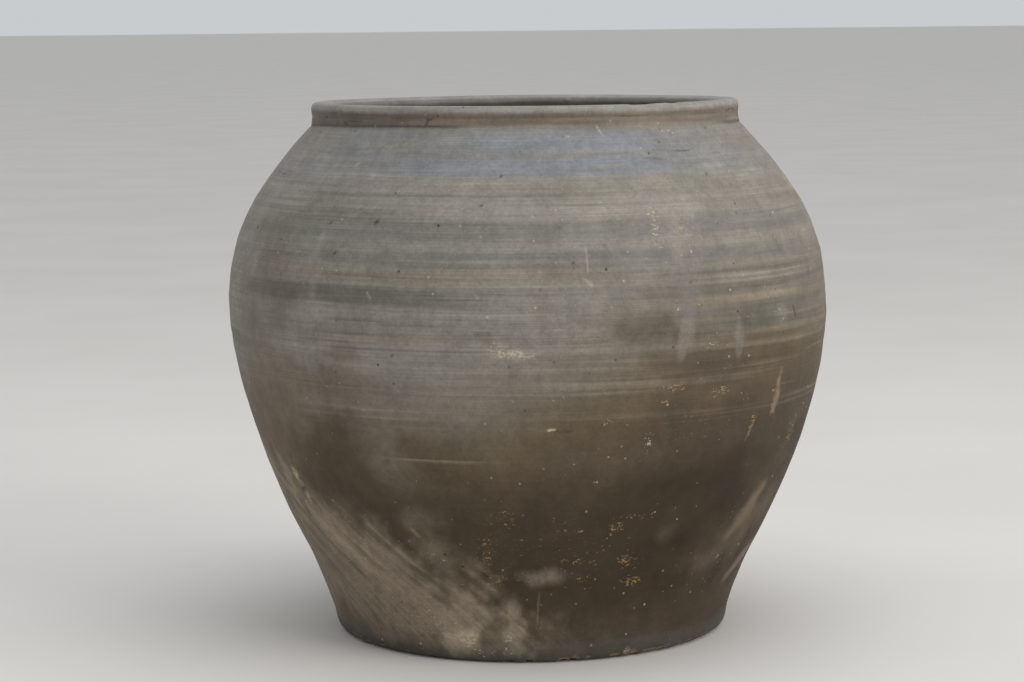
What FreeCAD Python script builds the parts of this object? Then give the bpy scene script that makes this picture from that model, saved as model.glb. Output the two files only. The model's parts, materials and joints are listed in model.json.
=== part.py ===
"""Coil-built black clay jar: a slab base, seven wall courses, a neck coil and a lip coil.

Units are millimetres. The jar stands on the XY plane with its axis on +Z, and the origin is the
centre of its foot. Every piece is a ring or a disc about that axis, so each one is a closed
section in the XZ plane turned through a full circle.
"""

import FreeCAD
import Part

import os
from math import cos, radians, sin, tan

import Sketcher

COURSES = 7

# Driving dimensions. A lean is the wall's angle from upright at a seam: plus leans outwards as
# the wall rises, minus leans inwards.
SIZES = {
    "foot_radius": 132.0,
    "foot_edge_round": 2.5,
    "slab_thickness": 14.0,
    "slab_lean": 9.0,
    "course_height": 46.5,
    "lean_0": 17.0,
    "lean_1": 27.0,
    "lean_2": 22.0,
    "lean_3": 16.0,
    "lean_4": 7.0,
    "lean_5": -9.0,
    "lean_6": -33.0,
    "lean_7": -45.0,
    "foot_wall": 14.0,
    "shoulder_wall": 10.5,
    "lap": 8.0,
    "corner_rise": 20.0,
    "corner_reach": 22.0,
    "corner_hollow": 26.0,
    "mouth_radius": 126.0,
    "neck_rise": 6.5,
    "neck_draw_in": 0.9,
    "neck_hollow": 30.0,
    "throat_round": 5.0,
    "lip_rise": 9.4,
    "lip_overhang": 0.8,
    "lip_outer_round": 3.2,
    "lip_inner_round": 6.0,
    "lip_crown": 40.0,
}


class Size:
    """A length known both as a number and as the expression on the sheet that gives it."""

    def __init__(self, value, text):
        self.value = value
        self.text = text

    def __add__(self, other):
        return Size(self.value + other.value, f"{self.text} + {other.text}")

    def __sub__(self, other):
        return Size(self.value - other.value, f"{self.text} - ({other.text})")

    def times(self, factor, factor_text):
        return Size(self.value * factor, f"({self.text}) * {factor_text}")


def cell(name):
    return Size(SIZES[name], f"Sizes.{name}")


def sine(lean):
    return sin(radians(lean.value)), f"sin({lean.text})"


def cosine(lean):
    return cos(radians(lean.value)), f"cos({lean.text})"


def make_sheet(doc):
    sheet = doc.addObject("Spreadsheet::Sheet", "Sizes")
    for row, (name, value) in enumerate(SIZES.items(), start=1):
        sheet.set(f"A{row}", name)
        sheet.set(f"B{row}", str(value))
        sheet.setAlias(f"B{row}", name)
    doc.recompute()
    return sheet


# ---- Where the seams lie -------------------------------------------------------------------

def seam_height(seam):
    return cell("slab_thickness") + cell("course_height").times(seam, str(seam))


def seam_radius(seam):
    """The outer radius at a seam: each course is an arc, so its chord has the mean of its leans."""
    radius = cell("foot_radius")
    radius += cell("slab_thickness").times(tan(radians(SIZES["slab_lean"])), "tan(Sizes.slab_lean)")
    for below in range(seam):
        mean = (SIZES[f"lean_{below}"] + SIZES[f"lean_{below + 1}"]) / 2
        slope_text = f"tan((Sizes.lean_{below} + Sizes.lean_{below + 1}) / 2)"
        radius += cell("course_height").times(tan(radians(mean)), slope_text)
    return radius


def wall_thickness(seam):
    """The wall thins evenly from the foot to the shoulder."""
    share = seam / COURSES
    taper = (cell("foot_wall") - cell("shoulder_wall")).times(share, f"{seam} / {COURSES}")
    return cell("foot_wall") - taper


def outer_point(seam):
    return seam_radius(seam), seam_height(seam)


def inner_point(seam):
    """The inner end of a bevelled lap: in through the wall, and up along it by the lap."""
    lean = cell(f"lean_{seam}")
    thick = wall_thickness(seam)
    lap = cell("lap")
    radius = seam_radius(seam) - thick.times(*cosine(lean)) + lap.times(*sine(lean))
    height = seam_height(seam) + thick.times(*sine(lean)) + lap.times(*cosine(lean))
    return radius, height


def slab_inner_point():
    """Where the first course's inner face meets the slab."""
    return seam_radius(0) - cell("foot_wall"), cell("slab_thickness")


def corner_top_point():
    """The top of the corner coil on the first course's inner face."""
    radius, height = slab_inner_point()
    rise = cell("corner_rise")
    lean = SIZES["lean_0"]
    return radius + rise.times(tan(radians(lean)), "tan(Sizes.lean_0)"), height + rise


def arc_radius(start, end, turn, turn_text):
    """The radius of the arc from start to end whose direction turns by the given angle."""
    across = end[0] - start[0]
    up = end[1] - start[1]
    chord = (across.value ** 2 + up.value ** 2) ** 0.5
    chord_text = f"sqrt(({across.text})^2 + ({up.text})^2)"
    return Size(chord / (2 * sin(radians(turn) / 2)), f"{chord_text} / (2 * sin(({turn_text}) / 2))")


def course_arc(start, end, below, above):
    """The arc of one course, which bulges outwards where the wall leans in more at its top."""
    lower, upper = f"lean_{below}", f"lean_{above}"
    if SIZES[lower] > SIZES[upper]:
        turn, turn_text = SIZES[lower] - SIZES[upper], f"Sizes.{lower} - (Sizes.{upper})"
        return arc_radius(start, end, turn, turn_text), "left"
    turn, turn_text = SIZES[upper] - SIZES[lower], f"Sizes.{upper} - (Sizes.{lower})"
    return arc_radius(start, end, turn, turn_text), "right"


# ---- Sketches ------------------------------------------------------------------------------

def vector(point):
    return FreeCAD.Vector(point[0].value, point[1].value, 0)


def arc_edge(start, end, radius, centre_side):
    """A circular arc whose centre lies left or right of the way from start to end."""
    first, last = vector(start), vector(end)
    middle = (first + last) * 0.5
    along = last - first
    half = along.Length / 2
    depth = (radius.value ** 2 - half ** 2) ** 0.5
    left = FreeCAD.Vector(-along.y, along.x, 0).normalize()
    side = 1 if centre_side == "left" else -1
    centre = middle + left * depth * side
    apex = centre - left * radius.value * side
    return Part.Arc(first, apex, last)


def plane_of(body, role):
    for feature in body.Origin.OriginFeatures:
        if feature.Role == role:
            return feature
    raise ValueError(role)


def pin_point(sketch, edge, end, point):
    """Fix one end of an edge at its radius and height; a zero puts it on the axis or the floor."""
    radius, height = point
    if radius.value == 0:
        sketch.addConstraint(Sketcher.Constraint("PointOnObject", edge, end, -2))
    else:
        number = sketch.addConstraint(Sketcher.Constraint("DistanceX", -1, 1, edge, end, radius.value))
        sketch.setExpression(f"Constraints[{number}]", radius.text)
    if height.value == 0:
        sketch.addConstraint(Sketcher.Constraint("PointOnObject", edge, end, -1))
    else:
        number = sketch.addConstraint(Sketcher.Constraint("DistanceY", -1, 1, edge, end, height.value))
        sketch.setExpression(f"Constraints[{number}]", height.text)


def end_of_arc(sketch, edge, point):
    """Which end of a sketched arc lies at a point: 1 is its start and 2 its end."""
    start = sketch.getPoint(edge, 1)
    finish = sketch.getPoint(edge, 2)
    target = vector(point)
    return 1 if (start - target).Length < (finish - target).Length else 2


def draw_section(sketch, points, arcs):
    """A closed outline through the points; arcs maps an edge's number to (radius, centre side)."""
    count = len(points)
    ends = []
    for number in range(count):
        start, end = points[number], points[(number + 1) % count]
        if number in arcs:
            radius, centre_side = arcs[number]
            edge = sketch.addGeometry(arc_edge(start, end, radius, centre_side), False)
        else:
            edge = sketch.addGeometry(Part.LineSegment(vector(start), vector(end)), False)
        ends.append((edge, end_of_arc(sketch, edge, start), end_of_arc(sketch, edge, end)))
    for number in range(count):
        edge, first_end, last_end = ends[number]
        next_edge, next_first_end, _ = ends[(number + 1) % count]
        sketch.addConstraint(Sketcher.Constraint("Coincident", edge, last_end, next_edge, next_first_end))
        pin_point(sketch, edge, first_end, points[number])
        if number in arcs:
            radius = arcs[number][0]
            constraint = sketch.addConstraint(Sketcher.Constraint("Radius", edge, radius.value))
            sketch.setExpression(f"Constraints[{constraint}]", radius.text)


def turned_body(doc, name, points, arcs=None):
    """A body made by turning one closed section about the jar's axis."""
    body = doc.addObject("PartDesign::Body", name)
    body.Label = name
    body.Placement = FreeCAD.Placement()
    sketch = body.newObject("Sketcher::SketchObject", f"{name}_section")
    sketch.AttachmentSupport = (plane_of(body, "XZ_Plane"), [""])
    sketch.MapMode = "FlatFace"
    doc.recompute()
    draw_section(sketch, points, arcs or {})
    turn = body.newObject("PartDesign::Revolution", f"{name}_turn")
    turn.Profile = sketch
    turn.ReferenceAxis = (sketch, ["V_Axis"])
    turn.Angle = 360
    sketch.Visibility = False
    doc.recompute()
    return body


# ---- The pieces ----------------------------------------------------------------------------

ZERO = Size(0.0, "0")


def base_slab(doc):
    """The round slab that the jar stands on, with its lower edge rubbed round."""
    rounding = cell("foot_edge_round")
    slope, slope_text = tan(radians(SIZES["slab_lean"])), "tan(Sizes.slab_lean)"
    edge_bottom = cell("foot_radius") - rounding
    edge_top = cell("foot_radius") + rounding.times(slope, slope_text)
    points = [
        (ZERO, ZERO),
        (edge_bottom, ZERO),
        (edge_top, rounding),
        outer_point(0),
        (ZERO, cell("slab_thickness")),
    ]
    fillet = rounding.times(1.3, "1.3")
    return turned_body(doc, "base_slab", points, {1: (fillet, "left")})


def corner_coil(doc):
    """The thin coil pressed into the inside corner where the wall stands on the slab."""
    corner = slab_inner_point()
    points = [corner, corner_top_point(), (corner[0] - cell("corner_reach"), corner[1])]
    return turned_body(doc, "corner_coil", points, {1: (cell("corner_hollow"), "right")})


def wall_course(doc, number):
    """One course of the wall, from the seam below it to the seam above it."""
    below, above = number - 1, number
    outer_arc = course_arc(outer_point(below), outer_point(above), below, above)
    if below == 0:
        inner_start = corner_top_point()
        points = [outer_point(0), outer_point(1), inner_point(1), inner_start, slab_inner_point()]
    else:
        inner_start = inner_point(below)
        points = [outer_point(below), outer_point(above), inner_point(above), inner_start]
    inner_arc = course_arc(inner_start, inner_point(above), below, above)
    # The inner arc is drawn downwards, so its centre is on the other hand.
    other_side = {"left": "right", "right": "left"}[inner_arc[1]]
    arcs = {0: outer_arc, 2: (inner_arc[0], other_side)}
    return turned_body(doc, f"wall_course_{number}", points, arcs)


def neck_points():
    """The neck's outer foot, its outer top, its inner top and the top of the rounded throat."""
    foot = outer_point(COURSES)
    top_height = foot[1] + cell("neck_rise")
    outer_top = (foot[0] - cell("neck_draw_in"), top_height)
    inner_top = (cell("mouth_radius"), top_height)
    throat_inner = inner_point(COURSES)
    throat_top = (cell("mouth_radius"), throat_inner[1] + cell("throat_round").times(0.7, "0.7"))
    return foot, outer_top, inner_top, throat_top, throat_inner


def neck_coil(doc):
    """The upright coil set on the shoulder's opening, drawn in a little on its outer face."""
    points = list(neck_points())
    arcs = {0: (cell("neck_hollow"), "right"), 3: (cell("throat_round"), "left")}
    return turned_body(doc, "neck_coil", points, arcs)


def lip_coil(doc):
    """The thick flat-topped lip, rounded over on both sides."""
    _, outer_foot, inner_foot, _, _ = neck_points()
    crest = outer_foot[1] + cell("lip_rise")
    outer_round = cell("lip_outer_round")
    inner_round = cell("lip_inner_round")
    outer_radius = outer_foot[0] + cell("lip_overhang")
    inner_crest = crest - cell("lip_overhang")
    points = [
        outer_foot,
        (outer_radius, crest - outer_round),
        (outer_radius - outer_round, crest),
        (inner_foot[0] + inner_round, inner_crest),
        (inner_foot[0], inner_crest - inner_round),
        inner_foot,
    ]
    arcs = {
        1: (outer_round, "left"),
        2: (cell("lip_crown"), "left"),
        3: (inner_round, "left"),
    }
    return turned_body(doc, "lip_coil", points, arcs)


def check_document(doc, bodies):
    """Stop if any object failed to compute or any piece is not one sound solid."""
    for item in doc.Objects:
        if "Invalid" in item.State or "Error" in item.State:
            raise RuntimeError(f"{item.Name} is {item.State}")
    for body in bodies:
        shape = body.Shape
        if shape.isNull() or not shape.isValid() or len(shape.Solids) != 1:
            raise RuntimeError(f"{body.Label} is not one valid solid")


def write_steps(bodies):
    os.makedirs("parts", exist_ok=True)
    for body in bodies:
        body.Shape.exportStep(f"parts/{body.Label}.step")
        box = body.Shape.optimalBoundingBox(False, False)
        volume = body.Shape.Volume / 1000
        print(f"{body.Label}: {volume:.0f} cm3, z {box.ZMin:.1f} to {box.ZMax:.1f}, radius {box.XMax:.1f}")


def main():
    doc = FreeCAD.newDocument("clay_jar")
    make_sheet(doc)
    bodies = [base_slab(doc), corner_coil(doc)]
    for number in range(1, COURSES + 1):
        bodies.append(wall_course(doc, number))
    bodies.append(neck_coil(doc))
    bodies.append(lip_coil(doc))
    doc.recompute()
    check_document(doc, bodies)
    write_steps(bodies)


main()
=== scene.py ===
"""The looks of a large black clay jar, coil-built and smoke-fired.

Every ring of clay is rebuilt as a dense, slightly uneven solid on the section of its CAD piece.
Places on the jar are given as an angle around it in degrees (0 faces the camera, plus is to the
camera's right) and a height above the foot in millimetres.
"""

import json
import math
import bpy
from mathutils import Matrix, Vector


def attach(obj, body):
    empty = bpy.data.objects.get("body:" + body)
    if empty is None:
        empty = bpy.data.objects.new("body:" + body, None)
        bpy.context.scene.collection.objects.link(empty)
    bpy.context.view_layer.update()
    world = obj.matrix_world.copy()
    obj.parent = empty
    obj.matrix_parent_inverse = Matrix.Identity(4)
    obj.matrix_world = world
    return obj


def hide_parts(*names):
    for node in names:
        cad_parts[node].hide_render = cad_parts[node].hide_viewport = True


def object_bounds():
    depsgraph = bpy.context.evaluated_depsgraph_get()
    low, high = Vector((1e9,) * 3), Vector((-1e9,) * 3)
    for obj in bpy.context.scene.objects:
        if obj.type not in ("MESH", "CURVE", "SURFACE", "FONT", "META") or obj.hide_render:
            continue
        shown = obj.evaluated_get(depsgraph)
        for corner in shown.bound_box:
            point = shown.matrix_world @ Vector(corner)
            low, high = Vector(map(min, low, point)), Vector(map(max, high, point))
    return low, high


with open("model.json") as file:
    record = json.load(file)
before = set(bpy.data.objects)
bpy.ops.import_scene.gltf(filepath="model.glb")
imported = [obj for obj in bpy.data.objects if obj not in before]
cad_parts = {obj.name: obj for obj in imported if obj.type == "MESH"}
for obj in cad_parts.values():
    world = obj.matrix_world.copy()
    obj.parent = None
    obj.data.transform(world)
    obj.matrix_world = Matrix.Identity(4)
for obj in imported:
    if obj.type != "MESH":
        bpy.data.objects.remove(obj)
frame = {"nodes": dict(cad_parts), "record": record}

from types import SimpleNamespace

import bmesh
import bpy
import numpy as np
from mathutils import Matrix, Vector

MM = 0.001
CAD_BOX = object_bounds()
SMALL = 1e-9
# How many points every ring of a mesh has.
COLUMNS = 1100
# A little under the jar's smallest outer radius in millimetres, to tell how far a mark can reach.
NARROWEST = 120

# ---- Small tools ----


def smooth(low, high, value):
    """0 below low, 1 above high and an even curve between them."""
    share = np.clip((value - low) / (high - low), 0, 1)
    return share * share * (3 - 2 * share)


def mix(first, second, share):
    return first + (second - first) * share


def tinted(colour, tint, share):
    """Colours mixed with a tint, by a share for each of them."""
    return mix(colour, tint, share[..., None])


def linear(red, green, blue):
    """A colour as it looks on a screen, from 0 to 255, turned into light."""
    shade = np.array([red, green, blue]) / 255
    return np.where(shade <= 0.04045, shade / 12.92, ((shade + 0.055) / 1.055) ** 2.4)


def noise(angle, height, across, tall, seed):
    """Smooth noise from -1 to 1 that closes round the jar: cells in degrees by millimetres."""
    columns = max(2, round(360 / across))
    rows = 256
    table = np.random.RandomState(seed).uniform(-1, 1, (rows, columns))
    column = (angle / 360 % 1) * columns
    row = height / tall
    left, low = np.floor(column).astype(int), np.floor(row).astype(int)
    right_share, up_share = smooth(0, 1, column - left), smooth(0, 1, row - low)
    left, right = left % columns, (left + 1) % columns
    low, high = low % rows, (low + 1) % rows
    below = mix(table[low, left], table[low, right], right_share)
    above = mix(table[high, left], table[high, right], right_share)
    return mix(below, above, up_share)


def fractal(angle, height, across, tall, seed, octaves=3):
    """Noise with finer and weaker copies of itself laid over it."""
    total = 0
    for octave in range(octaves):
        finer = 2**octave
        total = total + noise(angle, height, across / finer, tall / finer, seed + octave) / finer
    return total / (2 - 2 / 2**octaves)


def turned(angle, centre):
    """How far an angle is round from a centre, from -180 to 180 degrees."""
    return (angle - centre + 180) % 360 - 180


# ---- The sections of the CAD pieces ----

CUT_ANGLE = math.radians(13.7)
CORNER_TURN = math.radians(35)


def cut_edges(node):
    """Cut a CAD piece by a plane through the axis: its cut points (radius, height) and links."""
    cutter = bmesh.new()
    cutter.from_mesh(frame["nodes"][node].data)
    bmesh.ops.remove_doubles(cutter, verts=cutter.verts, dist=1e-7)
    across = Vector((math.cos(CUT_ANGLE), math.sin(CUT_ANGLE), 0))
    normal = Vector((-across.y, across.x, 0))
    everything = [*cutter.verts, *cutter.edges, *cutter.faces]
    cut = bmesh.ops.bisect_plane(cutter, geom=everything, plane_co=(0, 0, 0), plane_no=normal, dist=1e-8)
    cutter.verts.index_update()
    points, links = {}, {}
    for item in cut["geom_cut"]:
        if isinstance(item, bmesh.types.BMEdge):
            for end in item.verts:
                points[end.index] = (end.co.dot(across) / MM, end.co.z / MM)
                links.setdefault(end.index, []).append(item.other_vert(end).index)
    cutter.free()
    return points, links


def section_of(node):
    """The piece's section on one side of the axis, as (radius, height) points in order round it."""
    points, links = cut_edges(node)
    start = max(points, key=lambda index: points[index][0])
    order, previous, current = [], None, start
    while True:
        order.append(points[current])
        onward = [index for index in links[current] if index != previous]
        previous, current = current, onward[0]
        if current == start:
            break
    order = np.array(order)
    inside = order[:, 0] > 0
    if not inside.all():
        first = int(np.argmax(inside & ~np.roll(inside, 1)))
        order = np.roll(order, -first, axis=0)
        order = order[: int(np.argmin(np.roll(inside, -first)))]
        order = np.vstack([[0, order[0, 1]], order, [0, order[-1, 1]]])
    gaps = np.hypot(*(order - np.roll(order, 1, axis=0)).T)
    order = order[gaps > 0.05]
    area = np.sum(order[:, 0] * np.roll(order[:, 1], -1) - order[:, 1] * np.roll(order[:, 0], -1))
    return order if area > 0 else order[::-1]


def runs_of(section):
    """The section split at its corners into runs; each run starts and ends on a corner."""
    before = section - np.roll(section, 1, axis=0)
    after = np.roll(section, -1, axis=0) - section
    turn = np.arctan2(before[:, 0] * after[:, 1] - before[:, 1] * after[:, 0], (before * after).sum(1))
    on_axis = section[:, 0] < SMALL
    corners = np.flatnonzero((np.abs(turn) > CORNER_TURN) | on_axis)
    runs = []
    for first, last in zip(corners, np.roll(corners, -1)):
        count = (last - first) % len(section)
        runs.append(section[(first + np.arange(count + 1)) % len(section)])
    return runs


def resampled(run, step):
    """The run with evenly spaced points, and the facets of its arcs smoothed out."""
    lengths = np.hypot(*np.diff(run, axis=0).T)
    along = np.concatenate([[0], np.cumsum(lengths)])
    count = max(2, math.ceil(along[-1] / step) + 1)
    places = np.linspace(0, along[-1], count)
    points = np.column_stack([np.interp(places, along, run[:, side]) for side in (0, 1)])
    for _ in range(6):
        points[1:-1] = points[1:-1] / 2 + (points[:-2] + points[2:]) / 4
    return points


SECTIONS = {node: section_of(node) for node in frame["nodes"]}


def outline_of_jar():
    """The jar's outer radius at every half millimetre of height."""
    heights = np.arange(0, CAD_BOX[1].z / MM + 0.5, 0.5)
    radius = np.zeros(len(heights))
    for section in SECTIONS.values():
        ends = np.vstack([section, section[:1]])
        for (first_radius, first), (last_radius, last) in zip(ends[:-1], ends[1:]):
            low, high = sorted((first, last))
            crossed = (heights >= low - 0.01) & (heights <= high + 0.01)
            span = last - first if abs(last - first) > SMALL else SMALL
            share = np.clip((heights[crossed] - first) / span, 0, 1)
            radius[crossed] = np.maximum(radius[crossed], mix(first_radius, last_radius, share))
    return heights, radius


OUTLINE_HEIGHTS, OUTLINE_RADIUS = outline_of_jar()
JAR_HEIGHT = OUTLINE_HEIGHTS[-1]


def outer_radius(height):
    return np.interp(height, OUTLINE_HEIGHTS, OUTLINE_RADIUS)


# ---- The uneven hand-made shape ----

# Chips and dents: angle, height, half width, depth, all millimetres but the angle.
CHIPS = [
    (80, 347, 3.0, 1.1),
    (-64, 354, 4.0, 0.4),
    (31, 354, 14.0, 0.5),
    (43, 354, 7.0, 0.4),
    (-104, 353, 3.5, 0.7),
    (166, 352, 3.0, 0.8),
    (-58, 112, 4.5, 0.9),
    (27, 4, 2.2, 1.0),
]


def foot_chips():
    """Small chips knocked out of the foot's edge, thickest on the front right."""
    rolls = np.random.RandomState(41)
    chips = []
    for _ in range(70):
        angle = rolls.uniform(-180, 180)
        chips.append((angle, rolls.uniform(0, 2.5), rolls.uniform(1.5, 5), rolls.uniform(0.3, 1.3)))
    for _ in range(16):
        angle = rolls.uniform(18, 68)
        chips.append((angle, rolls.uniform(0, 2.5), rolls.uniform(1.5, 4), rolls.uniform(0.5, 1.5)))
    return chips


ALL_CHIPS = CHIPS + foot_chips()


def chip_depth(angle, radius, height):
    """How deep the chips bite at each point, in millimetres."""
    depth = np.zeros_like(angle)
    rough = noise(angle, height, 1.2, 3, 77)
    for centre, level, size, deep in ALL_CHIPS:
        across = np.radians(turned(angle, centre)) * radius
        near = np.hypot(across, (height - level) * 1.3) / size
        depth = np.maximum(depth, deep * (1 - smooth(0.35, 1.0, near + 0.25 * rough)))
    return depth


def outer_relief(angle, height):
    """Wheel ridges on the upper wall, scraped facets on the lower wall, in millimetres."""
    upper = smooth(150, 215, height + 12 * noise(angle, height, 50, 60, 11))
    ridges = 0.34 * noise(angle, height, 120, 15, 12) + 0.22 * noise(angle, height, 75, 6.5, 13)
    ridges += 0.10 * noise(angle, height, 50, 3.4, 14)
    drag = angle + 0.35 * height
    facets = 0.40 * noise(drag, height, 15, 55, 15) + 0.14 * noise(drag, height, 6, 70, 16)
    facets += 0.07 * noise(angle, height, 8, 9, 17)
    wobble = 0.35 * noise(angle, height, 60, 95, 18) + 0.10 * noise(angle, height, 11, 24, 19)
    return wobble + ridges * mix(0.25, 1.0, upper) + facets * mix(1.0, 0.15, upper)


# The height of one ridge that a finger left on the inside.
FINGER_RIDGE = 15


def inner_relief(angle, height):
    """Finger ridges that climb the inside, the dips between them and broad dents."""
    climb = 4.5 * noise(angle, height, 45, 80, 21) + angle / 360 * FINGER_RIDGE
    finger = np.sin((height + climb) / FINGER_RIDGE * 2 * math.pi)
    dents = noise(angle, height, 9, 14, 22)
    return 0.75 * finger + 0.55 * dents + 0.9 * noise(angle, height, 40, 46, 23)


# How much higher the collar's foot sits at the front than at the sides.
COLLAR_SET = 2.4


def reshaped(angle, radius, height):
    """Points of the true section moved to where the hand-made wall has them, in metres."""
    into_wall = smooth(0.5, 9.0, outer_radius(height) - radius)
    in_lip = smooth(338, 346, height)
    outside = outer_relief(angle, height) * mix(1.0, 0.55, in_lip)
    inside = -inner_relief(angle, height) * mix(1.0, 0.25, in_lip)
    near_axis = smooth(60, 118, radius)
    push = mix(outside, inside, into_wall) * near_axis
    oval = 0.0016 * radius * np.cos(np.radians(2 * (angle - 30)))
    chips = chip_depth(angle, radius, height) * near_axis
    new_radius = radius + push + oval - chips * mix(1.0, 0.3, smooth(352, 355, height))
    rise = smooth(343, JAR_HEIGHT, height) * 0.55 * fractal(angle, height, 70, 400, 31)
    rise -= chips * smooth(351, 354, height)
    collar = smooth(318, 339, height) * (1 - smooth(342, 351, height))
    rise += COLLAR_SET * np.cos(np.radians(angle)) * collar
    rise += chips * (1 - smooth(0.5, 3.0, height)) * 0.8
    on_floor = (radius < 118) & (height > 5) & (height < 30)
    rise += np.where(on_floor, 0.5 * noise(angle, radius, 30, 25, 32) * (1 - near_axis), 0)
    new_height = np.maximum(height + rise, 0)
    lean = 1.1 * np.exp(-(((height - 148) / 45) ** 2))
    lean -= 0.75 * smooth(190, 240, height) + 0.3 * smooth(240, 330, height)
    round_angle = np.radians(angle - 90)
    x = new_radius * np.cos(round_angle) + lean
    y = new_radius * np.sin(round_angle)
    return np.clip(np.stack([x, y, new_height], axis=-1) * MM, *CAD_BOX)


# ---- Colours laid on by the fire, the wheel and wear ----

PEAT = linear(51, 38, 22)
BARK = linear(95, 82, 64)
ASH = linear(133, 128, 119)
PALE_ASH = linear(146, 139, 128)
SLATE = linear(108, 106, 100)
LEAD = linear(91, 89, 81)
# The shoulder's grey and blue-grey sheen, painted into the colour as a reflection of the sky.
PAINTED_GREY_REFLECTION = linear(122, 122, 121)
PAINTED_BLUE_REFLECTION = linear(118, 121, 131)
WARM = linear(136, 124, 106)
DUST = linear(127, 114, 97)
CHALK = linear(148, 133, 114)
OLIVE = linear(96, 86, 68)
CREAM = linear(190, 176, 148)
OCHRE = linear(158, 130, 92)
COLLAR_BROWN = linear(109, 98, 86)
# Pale grey of the worn top of the lip, with a painted highlight on its rounded edges mixed in.
LIP_GREY_AND_HIGHLIGHT = linear(140, 136, 130)
THROAT = linear(104, 102, 96)
INSIDE = linear(62, 56, 50)
CHIPPED = linear(160, 138, 112)
PIT = linear(44, 32, 26)

# How light the fire left the clay, in percent, on the left and on the right of the jar's front,
# and the heights between which the dark lower wall turns into the light upper wall.
DARK_TONE, LIGHT_TONE = (14, 0), (99, 90)
DARK_UP_TO, LIGHT_FROM = (84, 112), (216, 302)


def fired_tone(angle, height):
    """The percent of lightness: dark below and light above, with the dark climbing to the right."""
    right = smooth(-18, 50, angle)
    behind = smooth(65, 110, np.abs(angle))
    right = mix(right, 0.5, behind)
    level = height + 8 * fractal(angle, height, 30, 45, 101)
    climb = smooth(mix(*DARK_UP_TO, right), mix(*LIGHT_FROM, right), level)
    tone = mix(mix(*DARK_TONE, right), mix(*LIGHT_TONE, right), climb)
    tone += 12 * (1 - smooth(12, 60, height)) - 6 * smooth(318, 345, height)
    return tone + 16 * fractal(angle, height, 60, 60, 105) * behind


def grain_fields(angle, height):
    """The ways that marks on the clay break up, each from -1 to 1."""
    sway = noise(angle, height, 24, 40, 371)
    return {
        "cloud": fractal(angle, height, 9, 26, 301, 4),
        "wheel": fractal(angle, height, 60, 5.2, 311, 3),
        "down": fractal(angle, height, 2.4, 60, 321, 3),
        "left": fractal(angle + 0.42 * height + 3 * sway, height, 2.6, 70, 331, 4),
        "right": fractal(angle - 0.28 * height + 3 * sway, height, 2.6, 70, 341, 4),
        "crumb": fractal(angle, height, 1.6, 5.0, 351, 3),
        "mottle": fractal(angle, height, 4.5, 14, 361, 4),
    }


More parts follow.
